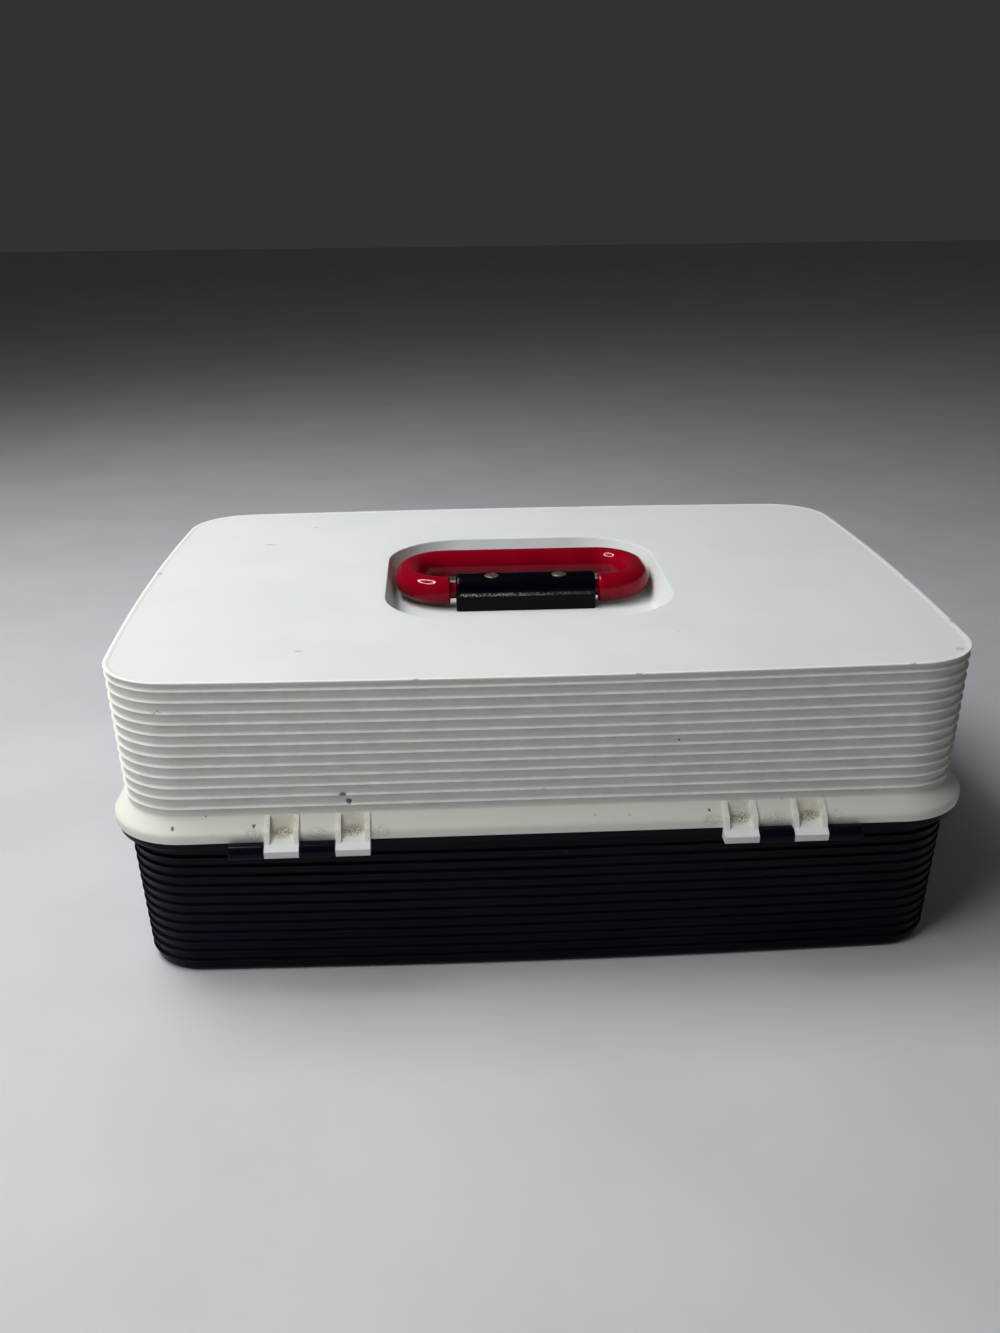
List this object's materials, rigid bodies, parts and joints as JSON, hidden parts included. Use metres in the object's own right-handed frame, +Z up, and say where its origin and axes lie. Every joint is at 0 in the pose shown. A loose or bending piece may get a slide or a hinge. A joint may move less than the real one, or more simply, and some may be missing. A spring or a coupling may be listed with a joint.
{
  "type": "cassette tape case",
  "caption": "Ribbed moulded case with a hinged lid, a folding handle sunk in its top, hook latches and inner racks for boxed cassette tapes.",
  "frame": {"origin": "middle of the underside of the base", "axes": "+Z up, +X along the length, +Y towards the latches; the hinges are at -Y"},
  "size_m": [0.369, 0.2944, 0.1388],
  "materials": {
    "lid_plastic": "fine-grained white moulding, yellowed round the flange",
    "base_plastic": "satin blue-black moulding",
    "rack_plastic": "satin black tray",
    "handle_plastic": "glossy crimson bar",
    "saddle_plastic": "glossy black, scuffed along its shoulder",
    "latch_plastic": "glossy crimson moulding",
    "screw_steel": "dull zinc",
    "pin_steel": "bright wire"
  },
  "bodies": {
    "base": {"base_shell": "base_plastic", "rack_rear": "rack_plastic", "rack_middle": "rack_plastic", "rack_front": "rack_plastic", "hinge_pin_left": "pin_steel", "hinge_pin_right": "pin_steel"},
    "lid": {"lid_shell": "lid_plastic", "handle_saddle": "saddle_plastic", "handle_screw_left": "screw_steel", "handle_screw_right": "screw_steel", "latch_pin_left": "pin_steel", "latch_pin_right": "pin_steel"},
    "handle": {"handle_loop": "handle_plastic"},
    "latch_left": {"latch_left": "latch_plastic"},
    "latch_right": {"latch_right": "latch_plastic"}
  },
  "joints": [
    {"name": "lid_hinge", "type": "hinge", "parent": "base", "child": "lid", "pos_m": [0, -0.13899, 0.0651], "axis": [1, 0, 0], "range_deg": [0, 155]},
    {"name": "handle_swing", "type": "hinge", "parent": "lid", "child": "handle", "pos_m": [0, -0.0015, 0.1306], "axis": [1, 0, 0], "range_deg": [0, 180]},
    {"name": "latch_left_swing", "type": "hinge", "parent": "lid", "child": "latch_left", "pos_m": [-0.1015, 0.14049, 0.0754], "axis": [1, 0, 0], "range_deg": [-14, 95]},
    {"name": "latch_right_swing", "type": "hinge", "parent": "lid", "child": "latch_right", "pos_m": [0.1015, 0.14049, 0.0754], "axis": [1, 0, 0], "range_deg": [-14, 95]}
  ]
}
